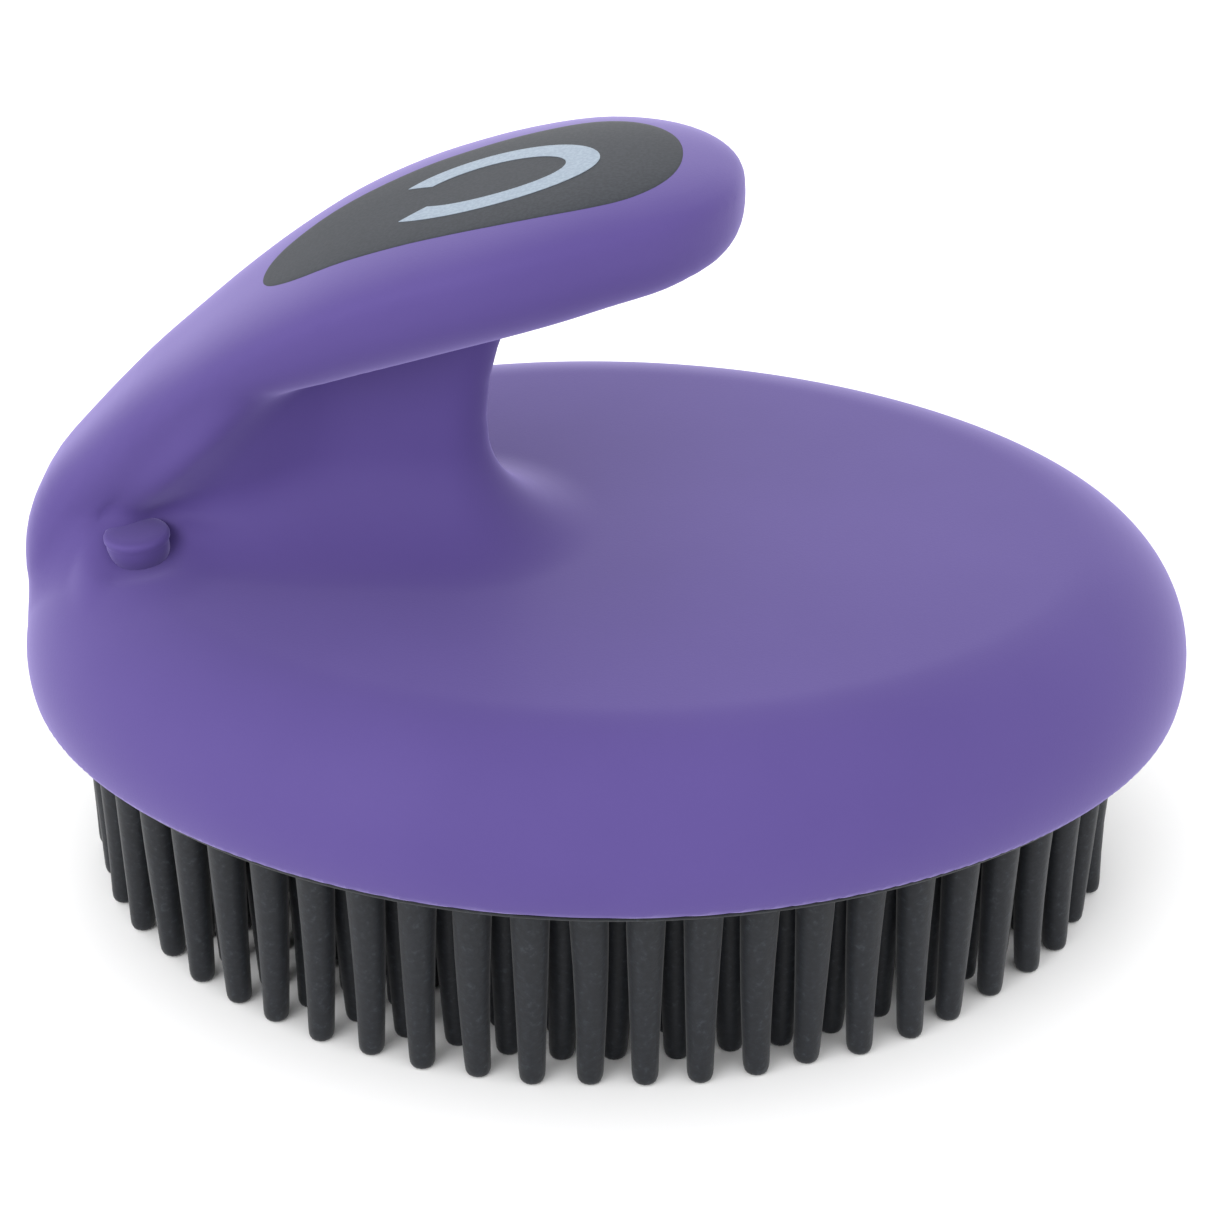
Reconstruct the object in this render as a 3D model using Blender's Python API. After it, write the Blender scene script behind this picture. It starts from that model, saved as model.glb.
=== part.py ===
"""Curry comb with an oval rubber tooth pad and a bent palm handle, one object per piece."""
import math
import bpy
import bmesh
import numpy as np
from mathutils import Matrix, Vector

MM = 0.001

# ---- driving dimensions, millimetres ----
HALF_LENGTH = 70.0        # oval body, half length (X)
HALF_WIDTH = 55.2         # oval body, half width (Y)
RIM_RADIUS = 14.2         # roundness of the body's rim
RIM_HEIGHT = 30.9         # height of the rim's widest line
SHOULDER = 0.65           # how far the oval's four shoulders are drawn in
HEEL_BLUNT = 0.7          # how far the heel end of the oval is drawn in
SKIN_BOTTOM = 26.9        # lower edge of the soft skin
SKIN_WALL = 3.0           # thickness of the soft skin
GAP = 0.3                 # clearance between touching pieces
CORE_WALL = 3.0           # thickness of the rigid shell
BACKING_THICK = 2.0
PAD_LIP_BOTTOM = 26.0     # underside of the rubber base
PAD_LIP_INSET = 0.8       # how far the rubber lip sits inside the body's edge
PAD_LIP_TOP = SKIN_BOTTOM - GAP
PAD_PLUG_TOP = 28.9       # top of the rubber plug inside the skin
TOOTH_ROOT_RADIUS = 2.15
TOOTH_TIP_RADIUS = 1.4
TOOTH_RING_LENGTH = 61.3  # outermost ring of teeth, half length
TOOTH_RING_WIDTH = 48.4   # outermost ring of teeth, half width
TOOTH_RING_POWER = 1.92   # how full the rings' ovals are
TOOTH_RING_SHIFT = -0.4
TOOTH_RING_STEP = 4.66    # distance between rings
TOOTH_PITCH = 6.33        # distance between teeth along a ring
TOOTH_PHASES = (0.31, 0.81, 0.65, 0.15)
TOOTH_FACETS = 6
WEB_HALF_THICK = 5.0
WEB_FLARE = 11.0          # fillet where the web meets the body
INLAY_DEPTH = 1.6
MARK_THICK = 0.15
PIN_X = -53.5
PIN_Y = 10.7
PIN_RADIUS = 3.85
PIN_TOP = 48.1
PIN_FLOOR = 44.5          # floor of the dimple the pin stands in
DIMPLE_RADIUS = 5.3
SCREW_PLACES = (-48.0, -33.5, -19.0)
SCREW_TIP = 52.5
BODY_TOP = RIM_HEIGHT + RIM_RADIUS
CENTRE_SHIFT = -HEEL_BLUNT / 2   # brings the middle of the whole part to the origin

# handle from heel to nose: middle line x, z, reach above, reach below, half width
HANDLE = np.array([
    (-62.3, 20.0, 5.9, 2.2, 8.8),
    (-62.5, 34.0, 6.2, 2.2, 9.0),
    (-62.3, 41.2, 6.7, 2.2, 9.3),
    (-60.6, 46.8, 6.7, 2.2, 9.8),
    (-56.6, 52.4, 6.2, 2.8, 10.2),
    (-50.9, 59.6, 5.2, 3.6, 11.6),
    (-45.4, 65.1, 4.6, 4.6, 13.3),
    (-40.2, 69.8, 4.2, 6.4, 15.0),
    (-34.5, 74.1, 4.0, 8.8, 16.8),
    (-27.8, 78.2, 4.0, 10.4, 18.5),
    (-20.5, 81.5, 4.0, 11.1, 19.7),
    (-13.8, 83.8, 4.0, 11.2, 20.2),
    (-7.0, 85.8, 4.0, 11.2, 20.3),
    (-1.0, 87.4, 3.9, 11.1, 20.3),
    (4.4, 88.5, 3.8, 11.0, 20.3),
    (9.0, 89.2, 3.6, 10.8, 20.3),
    (15.9, 89.8, 3.5, 10.6, 20.3),
])
CAP_START = -15.0         # where the nose starts to round off, and where it ends
CAP_END = 15.5
NOSE_DROP = 1.2
PLAN_POWER, TOP_POWER, BELLY_POWER = 2.3, 3.0, 2.4
NOSE_SHARES = (0.15, 0.3, 0.43, 0.55, 0.66, 0.76, 0.84, 0.9, 0.945, 0.975, 0.992, 0.999)

# web front edge by height
WEB_FRONT = np.array([(42.0, -12.6), (50.0, -12.9), (54.0, -13.2), (59.0, -13.5), (64.0, -13.0),
                      (68.0, -12.0), (72.0, -10.6), (80.0, -8.0)])
WEB_HEIGHTS = (0.3, 1.0, 2.2, 4.2, 7.0, 11.0, 14.0, 19.0, 23.0, 27.0, 32.0)

# inlay outline: x along the handle, half width
INLAY_OUTLINE = [
    (-38.8, 0.0), (-38.3, 3.2), (-36.6, 5.9), (-33.0, 8.3), (-27.4, 10.0), (-21.5, 11.4), (-16.2, 12.3),
    (-10.5, 13.0), (-5.1, 13.2), (-1.0, 12.9), (2.6, 11.8), (5.4, 9.8), (7.5, 7.0), (8.7, 3.8), (9.1, 0.0),
]


def clear_scene():
    for obj in list(bpy.data.objects):
        bpy.data.objects.remove(obj, do_unlink=True)
    for block in list(bpy.data.meshes):
        bpy.data.meshes.remove(block)


def material(name, color, rough):
    mat = bpy.data.materials.new(name)
    mat.use_nodes = True
    bsdf = mat.node_tree.nodes["Principled BSDF"]
    bsdf.inputs["Base Color"].default_value = (*color, 1.0)
    bsdf.inputs["Roughness"].default_value = rough
    return mat


def from_bmesh(name, bm):
    bmesh.ops.recalc_face_normals(bm, faces=bm.faces)
    mesh = bpy.data.meshes.new(name)
    bm.to_mesh(mesh)
    bm.free()
    obj = bpy.data.objects.new(name, mesh)
    bpy.context.scene.collection.objects.link(obj)
    return obj


def loft(name, rings):
    """Closed solid through rings of points with equal counts, ends capped."""
    bm = bmesh.new()
    loops = [[bm.verts.new(Vector(p) * MM) for p in ring] for ring in rings]
    n = len(loops[0])
    for low, high in zip(loops, loops[1:]):
        for i in range(n):
            j = (i + 1) % n
            bm.faces.new((low[i], low[j], high[j], high[i]))
    bm.faces.new(list(reversed(loops[0])))
    bm.faces.new(loops[-1])
    return from_bmesh(name, bm)


def oval_ring(half_x, half_y, z, count):
    turns = [2 * math.pi * i / count for i in range(count)]
    return [(half_x * math.cos(t), half_y * math.sin(t), z) for t in turns]


def boolean(target, tool, operation):
    """Applies an exact boolean to the target and removes the tool."""
    mod = target.modifiers.new("join", "BOOLEAN")
    mod.operation = operation
    mod.solver = "EXACT"
    mod.object = tool
    view = bpy.context.view_layer
    view.update()
    depsgraph = bpy.context.evaluated_depsgraph_get()
    mesh = bpy.data.meshes.new_from_object(target.evaluated_get(depsgraph))
    target.modifiers.clear()
    target.data = mesh
    bpy.data.objects.remove(tool, do_unlink=True)
    return target


def smooth_step(low, high, x):
    t = min(1.0, max(0.0, (x - low) / (high - low)))
    return t * t * (3 - 2 * t)


def rim_ring(reach, z, count):
    """Closed ring at a distance outside the inner oval that the rim is swept along."""
    a, b = HALF_LENGTH - RIM_RADIUS, HALF_WIDTH - RIM_RADIUS
    ring = []
    for i in range(count):
        t = 2 * math.pi * i / count
        c, s = math.cos(t), math.sin(t)
        size = math.hypot(c / a, s / b)
        nx, ny = c / a / size, s / b / size
        heel = smooth_step(-30.0, -60.0, a * c + nx * RIM_RADIUS)
        out = reach - SHOULDER * math.sin(2 * t) ** 2
        out -= HEEL_BLUNT * math.exp(-((b * s + ny * RIM_RADIUS) / 16.0) ** 2) * heel
        ring.append((a * c + nx * out, b * s + ny * out, z))
    return ring


def body_dome(name, inset, bottom, count, straight=False):
    """Oval body with a rounded rim, set in by the given amount, flat underneath."""
    radius = RIM_RADIUS - inset
    rings = []
    steps = 8
    if straight:
        low = 0.0
        rings.append(rim_ring(radius, bottom, count))
    else:
        low = -math.asin(min(1.0, (RIM_HEIGHT - bottom) / radius))
    for i in range(steps + 1):
        t = low + (math.pi / 2 - low) * i / steps
        rings.append(rim_ring(radius * math.cos(t), RIM_HEIGHT + radius * math.sin(t), count))
    return loft(name, rings)


def catmull(points, per_span):
    rows = []
    n = len(points)
    for i in range(n - 1):
        p0, p1 = points[max(i - 1, 0)], points[i]
        p2, p3 = points[i + 1], points[min(i + 2, n - 1)]
        for k in range(per_span):
            t = k / per_span
            rows.append(0.5 * ((2 * p1) + (p2 - p0) * t + (2 * p0 - 5 * p1 + 4 * p2 - p3) * t ** 2
                               + (3 * p1 - p0 - 3 * p2 + p3) * t ** 3))
    rows.append(points[-1])
    return np.array(rows)


LINE = catmull(HANDLE, 4)
LINE_RUN = np.concatenate([[0.0], np.cumsum(np.hypot(np.diff(LINE[:, 0]), np.diff(LINE[:, 1])))])
CAP_FROM = np.interp(CAP_START, LINE[20:, 0], LINE_RUN[20:])
CAP_LONG = np.interp(CAP_END, LINE[20:, 0], LINE_RUN[20:]) - CAP_FROM + 0.4


def handle_runs(first, inset):
    """Places along the middle line, from a table row to the end of the nose."""
    runs = [LINE_RUN[4 * i] for i in range(first, 12)]
    return runs + [CAP_FROM + share * (CAP_LONG - inset) for share in NOSE_SHARES]


def handle_ring(run, inset, count, deep=0.0):
    """One handle section; deep makes it wider and deeper below its widest line."""
    x, z, up, down, side = (float(np.interp(run, LINE_RUN, LINE[:, k])) for k in range(5))
    back, ahead = max(run - 1.5, 0.0), run + 1.5
    dx, dz = (float(np.interp(ahead, LINE_RUN, LINE[:, k]) - np.interp(back, LINE_RUN, LINE[:, k]))
              for k in (0, 1))
    size = math.hypot(dx, dz)
    nx, nz = -dz / size, dx / size
    nose = max(0.0, (run - CAP_FROM) / (CAP_LONG - inset))
    far = max(0.0, (run - CAP_FROM) / CAP_LONG)
    swell = 1.0 + 0.35 * far ** 3
    upper = max(up * swell - inset, 0.4)
    lower = max(down * swell - (0.0 if deep else inset), 0.4) + deep
    half = max(side - (0.0 if deep else inset), 0.6)
    wide = max(0.0, 1.0 - nose ** PLAN_POWER) ** (1 / PLAN_POWER)
    ring = []
    for i in range(count):
        t = 2 * math.pi * i / count
        c, s = math.cos(t), math.sin(t)
        v = wide * abs(c) ** 0.8
        r = min(1.0, (v ** PLAN_POWER + nose ** PLAN_POWER) ** (1 / PLAN_POWER))
        power = TOP_POWER if s >= 0 else BELLY_POWER
        u = max(0.0, 1.0 - r ** power) ** (1 / power)
        reach = u * upper if s >= 0 else -u * lower
        if abs(s) < 1e-9:
            reach = 0.0
        reach -= NOSE_DROP * far ** 3
        ring.append((x + nx * reach, math.copysign(v, c) * half, z + nz * reach))
    return ring


def handle_solid(name, inset, first, count, stop=None):
    runs = handle_runs(first, inset)
    return loft(name, [handle_ring(run, inset, count) for run in runs[:stop]])


def below_line(x, z):
    """How far below the handle's middle line a point is, and the handle's half width there."""
    gaps = np.hypot(LINE[:, 0] - x, LINE[:, 1] - z)
    near = int(np.argmin(gaps))
    return float(gaps[near]), float(LINE[near, 4])


def web_ring(z, rear, front, half, spread, widen, count):
    """Outline in plan of the web at one height, wider towards the heel."""
    middle, reach = (front + rear) / 2, (front - rear) / 2
    ring = []
    for i in range(count):
        t = 2 * math.pi * (i + 0.5) / count
        x = middle + reach * math.cos(t)
        heel = smooth_step(-32.0, -48.0, x)
        wide = half + spread * (1.0 - 0.55 * heel)
        if widen:
            gap, side = below_line(x, z)
            depth = 8.5 + 0.6 * min(20.0, max(0.0, x + 54.0))
            share = smooth_step(-27.0, -45.0, x) * smooth_step(-1.0, 0.0, -gap / depth)
            wide += max(0.0, side - 0.8 - wide) * share
        over = max(0.0, abs(x - middle) - (reach - wide))
        ring.append((x, math.copysign(math.sqrt(max(0.0, wide ** 2 - over ** 2)), math.sin(t)), z))
    return ring


def flare(height):
    """How far the fillet stands out of the web at a height above the body's top."""
    drop = max(0.0, WEB_FLARE - height)
    return WEB_FLARE - math.sqrt(max(0.0, WEB_FLARE ** 2 - drop ** 2))


def web_solid(name, inset, count, flared):
    low = RIM_HEIGHT if flared else BODY_TOP - SKIN_WALL + 0.4
    rings = []
    for z, height in [(low, WEB_HEIGHTS[0])] + [(BODY_TOP + h, h) for h in WEB_HEIGHTS]:
        spread = flare(height) if flared else 0.0
        rear = float(np.interp(max(z, BODY_TOP), LINE[:, 1], LINE[:, 0])) + 1.0
        front = float(np.interp(z, WEB_FRONT[:, 0], WEB_FRONT[:, 1]))
        rings.append(web_ring(z, rear - min(spread * 0.45, 5.0) + inset, front + spread - inset,
                              WEB_HALF_THICK - inset, spread, flared, count))
    return loft(name, rings)


def bar_ring(z, rear, front, half, count):
    """Plain rounded bar outline in plan."""
    ring = []
    for i in range(count):
        t = 2 * math.pi * (i + 0.5) / count
        centre = front - half if math.cos(t) > 0 else rear + half
        ring.append((centre + half * math.cos(t), half * math.sin(t), z))
    return ring


def prism(name, outline, low, high):
    return loft(name, [[(x, y, low) for x, y in outline], [(x, y, high) for x, y in outline]])


def inlay_shape(grow):
    """Closed plan outline of the inlay, moved outwards by the given amount."""
    side = [(x, w) for x, w in INLAY_OUTLINE]
    loop = side + [(x, -w) for x, w in reversed(side[1:-1])]
    out = []
    n = len(loop)
    for i in range(n):
        ax, ay = loop[i - 1]
        bx, by = loop[(i + 1) % n]
        dx, dy = bx - ax, by - ay
        size = math.hypot(dx, dy)
        out.append((loop[i][0] - dy / size * grow, loop[i][1] + dx / size * grow))
    return out


def horseshoe_shape():
    """Plain horseshoe band in plan, open towards the heel."""
    cx = -12.6
    spread = math.radians(142)
    steps = 24
    outside, inside = [], []
    for i in range(steps + 1):
        t = -spread + 2 * spread * i / steps
        outside.append((cx + 12.4 * math.cos(t), 7.6 * math.sin(t)))
        inside.append((cx + 8.6 * math.cos(t), 4.7 * math.sin(t)))
    return outside + list(reversed(inside))


def tooth_places():
    """Centres of all teeth, ring by ring, evenly spaced along each oval."""
    places = [(0.0, 0.0)]
    ring = 0
    while TOOTH_RING_WIDTH - ring * TOOTH_RING_STEP >= 4.0:
        half_x = TOOTH_RING_LENGTH - ring * TOOTH_RING_STEP
        half_y = TOOTH_RING_WIDTH - ring * TOOTH_RING_STEP
        t = np.linspace(0, 2 * math.pi, 1441)
        c, s = np.cos(t), np.sin(t)
        px = half_x * np.sign(c) * np.abs(c) ** (2 / TOOTH_RING_POWER)
        py = half_y * np.sign(s) * np.abs(s) ** (2 / TOOTH_RING_POWER)
        run = np.concatenate([[0], np.cumsum(np.hypot(np.diff(px), np.diff(py)))])
        number = int(round(run[-1] / TOOTH_PITCH))
        shift = 0.75 + TOOTH_PHASES[ring % 4] / number
        want = np.sort((np.arange(number) / number + shift) % 1.0) * run[-1]
        places += list(zip(np.interp(want, run, px) + TOOTH_RING_SHIFT, np.interp(want, run, py)))
        ring += 1
    return [(float(x), float(y)) for x, y in places]


def all_teeth(name):
    bm = bmesh.new()
    root_z = PAD_LIP_BOTTOM + 0.3
    for px, py in tooth_places():
        turn = math.atan2(py, px)
        rings = []
        for radius, z in ((TOOTH_TIP_RADIUS, 0.0), (TOOTH_ROOT_RADIUS, root_z)):
            rings.append([bm.verts.new(Vector((px + radius * math.cos(turn + 2 * math.pi * i / TOOTH_FACETS),
                                               py + radius * math.sin(turn + 2 * math.pi * i / TOOTH_FACETS),
                                               z)) * MM) for i in range(TOOTH_FACETS)])
        for i in range(TOOTH_FACETS):
            j = (i + 1) % TOOTH_FACETS
            bm.faces.new((rings[0][i], rings[0][j], rings[1][j], rings[1][i]))
        bm.faces.new(list(reversed(rings[0])))
        bm.faces.new(rings[1])
    return from_bmesh(name, bm)


def edge_ring(inset, z, count):
    """Ring inside the body's outline at the skin's lower edge."""
    drop = RIM_HEIGHT - SKIN_BOTTOM
    return rim_ring(math.sqrt(RIM_RADIUS ** 2 - drop ** 2) - inset, z, count)


def make_pad():
    count = 72
    lip, plug = PAD_LIP_INSET, SKIN_WALL + GAP
    rings = [edge_ring(lip + 0.4, PAD_LIP_BOTTOM, count), edge_ring(lip, PAD_LIP_BOTTOM + 0.3, count),
             edge_ring(lip, PAD_LIP_TOP, count), edge_ring(plug, PAD_LIP_TOP, count),
             edge_ring(plug, PAD_PLUG_TOP, count)]
    pad = loft("tooth_pad", rings)
    return boolean(pad, all_teeth("teeth"), "UNION")


def core_bottom():
    return PAD_PLUG_TOP + GAP + BACKING_THICK + GAP


def make_backing():
    low = PAD_PLUG_TOP + GAP
    return loft("backing_plate", [edge_ring(SKIN_WALL + GAP, z, 64) for z in (low, low + BACKING_THICK)])


def spine_foot(name, grow):
    return prism(name, [(x, y) for x, y, _ in bar_ring(0, -60.0 - grow, -9.0 + grow, 8.0 + grow, 28)],
                 BODY_TOP - SKIN_WALL - GAP - grow, BODY_TOP - 1.9 + grow)


def make_core_shell():
    shell = body_dome("core_shell", SKIN_WALL + GAP, core_bottom(), 48)
    hollow = body_dome("hollow", SKIN_WALL + GAP + CORE_WALL, core_bottom() - 4.0, 48, True)
    boolean(shell, hollow, "DIFFERENCE")
    for x in SCREW_PLACES:
        boss = prism("boss", [(x + p[0], p[1]) for p in oval_ring(4.2, 4.2, 0, 20)],
                     core_bottom() + 2.4, BODY_TOP - SKIN_WALL - GAP - 1.0)
        boolean(shell, boss, "UNION")
    top_cut = spine_foot("top_cut", GAP)
    boolean(shell, top_cut, "DIFFERENCE")
    for x in SCREW_PLACES:
        bore = prism("bore", [(x + p[0], p[1]) for p in oval_ring(1.9, 1.9, 0, 16)], 20.0, 60.0)
        boolean(shell, bore, "DIFFERENCE")
    return shell


def make_spine():
    spine = handle_solid("handle_spine", SKIN_WALL + 0.8, 5, 20, -3)
    web = web_solid("web_core", 2.6, 20, False)
    boolean(spine, web, "UNION")
    boolean(spine, spine_foot("foot", 0.0), "UNION")
    for x in SCREW_PLACES:
        bore = prism("bore", [(x + p[0], p[1]) for p in oval_ring(1.65, 1.65, 0, 12)], 20.0, SCREW_TIP + 0.8)
        boolean(spine, bore, "DIFFERENCE")
    return spine


def make_screw(name, x):
    head_low = core_bottom() + 0.1
    seat = core_bottom() + 2.4 - GAP
    levels = [(1.6, head_low), (3.0, head_low + 0.5), (3.2, seat - 0.2), (3.2, seat), (1.35, seat),
              (1.35, SCREW_TIP - 1.5), (0.5, SCREW_TIP)]
    return loft(name, [[(x + p[0], p[1], z) for p in oval_ring(r, r, 0, 12)] for r, z in levels])


def make_skin_outer(name):
    skin = body_dome(name, 0.0, SKIN_BOTTOM, 72)
    boolean(skin, web_solid("web", 0.0, 40, True), "UNION")
    boolean(skin, handle_solid("grip", 0.0, 1, 36), "UNION")
    return skin


def make_skin():
    skin = make_skin_outer("body_skin")
    cavity = body_dome("cavity", SKIN_WALL, PAD_PLUG_TOP, 48)
    boolean(skin, cavity, "DIFFERENCE")
    mouth = loft("mouth", [edge_ring(SKIN_WALL, z, 64) for z in (SKIN_BOTTOM - 2.0, core_bottom())])
    boolean(skin, mouth, "DIFFERENCE")
    room = handle_solid("room", SKIN_WALL + 0.8 - GAP, 5, 20, -2)
    boolean(room, web_solid("web_room", 2.6 - GAP, 20, False), "UNION")
    boolean(room, spine_foot("foot_room", GAP), "UNION")
    boolean(skin, room, "DIFFERENCE")
    for side in (-1, 1):
        ring = oval_ring(DIMPLE_RADIUS, DIMPLE_RADIUS, 0, 24)
        at = [(PIN_X + p[0], side * (PIN_Y + 0.7) + p[1]) for p in ring]
        boolean(skin, prism("dimple", at, PIN_FLOOR, PIN_TOP + 1.3), "DIFFERENCE")
    return skin


def inlay_floor(name, depth):
    """Everything in the handle that lies more than the given depth below its top."""
    return loft(name, [handle_ring(run, depth, 36, 14.0) for run in handle_runs(6, 0.0)[:-4]])


def make_inlay():
    inlay = handle_solid("grip_inlay", 0.0, 6, 36)
    boolean(inlay, prism("edge", inlay_shape(0.0), 69.0, 98.0), "INTERSECT")
    boolean(inlay, inlay_floor("floor", INLAY_DEPTH), "DIFFERENCE")
    return inlay


def cut_inlay_pocket(skin):
    pocket = prism("pocket", inlay_shape(GAP), 69.0, 98.0)
    boolean(pocket, inlay_floor("floor", INLAY_DEPTH + GAP), "DIFFERENCE")
    boolean(skin, pocket, "DIFFERENCE")


def make_mark():
    mark = handle_solid("inlay_mark", -MARK_THICK, 7, 36)
    boolean(mark, prism("edge", horseshoe_shape(), 76.0, 98.0), "INTERSECT")
    boolean(mark, inlay_floor("floor", -0.04), "DIFFERENCE")
    return mark


def make_pin(name, side):
    levels = [(PIN_RADIUS, PIN_FLOOR + 0.02), (PIN_RADIUS, PIN_TOP - 0.3), (PIN_RADIUS - 0.3, PIN_TOP)]
    return loft(name, [[(PIN_X + p[0], side * PIN_Y + p[1], z) for p in oval_ring(r, r, 0, 24)]
                       for r, z in levels])


def smooth(obj):
    for poly in obj.data.polygons:
        poly.use_smooth = True


def main():
    clear_scene()
    purple = material("soft_purple", (0.16, 0.11, 0.36), 0.62)
    black = material("black_rubber", (0.02, 0.022, 0.025), 0.7)
    grey = material("dark_grey", (0.09, 0.1, 0.11), 0.5)
    light = material("light_grey", (0.45, 0.5, 0.55), 0.5)
    plastic = material("core_plastic", (0.3, 0.3, 0.32), 0.5)
    steel = material("screw_steel", (0.6, 0.6, 0.6), 0.35)

    pad = make_pad()
    pad.data.materials.clear()
    pad.data.materials.append(black)
    backing = make_backing()
    shell = make_core_shell()
    spine = make_spine()
    skin = make_skin()
    cut_inlay_pocket(skin)
    inlay = make_inlay()
    mark = make_mark()
    near = make_pin("heel_pin_near", -1)
    far = make_pin("heel_pin_far", 1)
    screws = [make_screw(f"spine_screw_{i + 1}", x) for i, x in enumerate(SCREW_PLACES)]
    for obj, mat in [(backing, plastic), (shell, plastic), (spine, plastic), (skin, purple),
                     (inlay, grey), (mark, light), (near, purple), (far, purple)]:
        obj.data.materials.clear()
        obj.data.materials.append(mat)
    for obj in screws:
        obj.data.materials.append(steel)
    for obj in (skin, near, far):
        smooth(obj)
    for obj in bpy.data.objects:
        obj.data.transform(Matrix.Translation((CENTRE_SHIFT * MM, 0.0, 0.0)))


main()
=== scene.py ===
"""Looks of the curry comb: smooth soft-touch body, rubber teeth, inlay, camera and studio light."""
import math
import bpy
import bmesh
import numpy as np
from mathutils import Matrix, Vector


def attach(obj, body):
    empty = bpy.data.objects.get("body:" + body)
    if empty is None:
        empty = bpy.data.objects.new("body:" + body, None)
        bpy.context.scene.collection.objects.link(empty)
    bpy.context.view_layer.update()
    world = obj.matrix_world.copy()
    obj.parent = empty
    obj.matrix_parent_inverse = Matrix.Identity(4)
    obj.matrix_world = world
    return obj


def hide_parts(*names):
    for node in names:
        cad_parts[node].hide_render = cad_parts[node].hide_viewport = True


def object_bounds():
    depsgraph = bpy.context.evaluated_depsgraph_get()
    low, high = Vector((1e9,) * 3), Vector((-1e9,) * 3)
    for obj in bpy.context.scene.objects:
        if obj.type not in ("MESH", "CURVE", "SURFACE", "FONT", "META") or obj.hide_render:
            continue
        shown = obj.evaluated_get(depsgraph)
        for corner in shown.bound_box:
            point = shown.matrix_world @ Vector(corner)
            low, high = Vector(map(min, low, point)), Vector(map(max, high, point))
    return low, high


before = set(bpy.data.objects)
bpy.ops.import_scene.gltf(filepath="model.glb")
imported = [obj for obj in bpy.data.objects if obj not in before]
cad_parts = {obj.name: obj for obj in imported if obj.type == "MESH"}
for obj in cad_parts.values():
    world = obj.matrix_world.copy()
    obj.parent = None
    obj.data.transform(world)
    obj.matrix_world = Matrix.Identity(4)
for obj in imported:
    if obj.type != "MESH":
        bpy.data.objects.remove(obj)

CAD_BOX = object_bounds()
MM = 0.001

# ---- camera, millimetres and degrees ----
CAMERA_TARGET = (0.23, 0.0, 33.57)
CAMERA_AZIMUTH = 3.64
CAMERA_ELEVATION = 30.40
CAMERA_DISTANCE = 362.5
CAMERA_LENS = 88.96
CAMERA_SENSOR = 36.0

# ---- body, millimetres ----
HALF_LENGTH = 70.0
HALF_WIDTH = 55.2
RIM_RADIUS = 14.2
RIM_HEIGHT = 30.9
SHOULDER = 0.65           # how far the oval's four shoulders are drawn in
HEEL_BLUNT = 0.7          # how far the heel end of the oval is drawn in
HEEL_BLUNT_REACH = 16.0   # and how far that carries to each side
SKIN_BOTTOM = 26.9
SKIN_EDGE = 0.9           # rounding of the skin's lower edge
CENTRE_SHIFT = -HEEL_BLUNT / 2   # the same shift along X as the CAD
WEB_HALF_THICK = 4.8
WEB_REAR = -60.0
WEB_FLARE = 11.0          # fillet where the web meets the body

# each pin stands on a low mound in a shallow groove, with a dent in the wall above it
PIN_X, PIN_Y, PIN_RADIUS, PIN_TOP = -53.5, 10.7, 3.85, 48.1
MOUND, GROOVE, DENT = 0.8, 0.5, 0.9
DENT_HEIGHT = 48.5
PIN_SIDES = 48
PIN_LEAN = 0.05           # towards the heel, for each millimetre up
PIN_TILT = 0.035          # of the flat top
# pin radius and height from its top
PIN_PROFILE = [(0.0, -4.6), (3.6, -4.6), (3.65, -1.3), (3.7, -1.15), (PIN_RADIUS, -0.85),
               (PIN_RADIUS, -0.45), (3.72, -0.18), (3.4, -0.05), (2.4, 0.0), (0.0, 0.0)]

# ---- sampling of the body, millimetres ----
GRID_STEP = 0.85
GRID_LOW = (-72.5, -59.5, 22.5)
GRID_HIGH = (72.5, 59.5, 95.0)
SETTLE_ROUNDS = 3
SETTLE_LIMIT = 0.6        # longest move in one round, along each axis
SETTLE_FAR = 1.2          # a point that ends further away than this goes back
SLOPE_STEP = 0.04
# heights that the handle's top is looked for between, and the first step down
SEARCH_TOP, SEARCH_FLOOR, SEARCH_STEP = 98.0, 60.0, 0.5

# handle from heel to nose: middle line x, z, reach above, reach below, half width
HANDLE = np.array([
    (-62.3, 20.0, 5.9, 2.2, 8.8),
    (-62.5, 34.0, 6.2, 2.2, 9.0),
    (-62.3, 41.2, 6.7, 2.2, 9.3),
    (-60.6, 46.8, 6.7, 2.2, 9.8),
    (-56.6, 52.4, 6.2, 2.8, 10.2),
    (-50.9, 59.6, 5.2, 3.6, 11.6),
    (-45.4, 65.1, 4.6, 4.6, 13.3),
    (-40.2, 69.8, 4.2, 6.4, 15.0),
    (-34.5, 74.1, 4.0, 8.8, 16.8),
    (-27.8, 78.2, 4.0, 10.4, 18.5),
    (-20.5, 81.5, 4.0, 11.1, 19.7),
    (-13.8, 83.8, 4.0, 11.2, 20.2),
    (-7.0, 85.8, 4.0, 11.2, 20.3),
    (-1.0, 87.4, 3.9, 11.1, 20.3),
    (4.4, 88.4, 3.8, 11.0, 20.3),
    (9.0, 89.1, 3.6, 10.8, 20.3),
    (15.9, 89.7, 3.5, 10.6, 20.3),
])
LINE_SPAN = 4             # points on the middle line for each row of the table
LINE_RISING = 5 * LINE_SPAN   # from this point on, x only grows
PAST_END = 60.0           # how many spans the last one is carried on for
CAP_START = -15.0         # where the nose starts to round off
CAP_END = 15.5            # and where it ends
CAP_EXTRA = 0.4
CAP_SWELL = 0.35          # how much fuller the section gets towards the nose
NOSE_DROP = 1.2
PLAN_POWER, TOP_POWER, BELLY_POWER = 2.3, 3.0, 2.4

# web front edge by height
WEB_FRONT = np.array([(42.0, -12.6), (50.0, -12.9), (54.0, -13.2), (59.0, -13.5), (64.0, -13.0),
                      (68.0, -12.0), (72.0, -10.6), (80.0, -8.0)])

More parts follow.
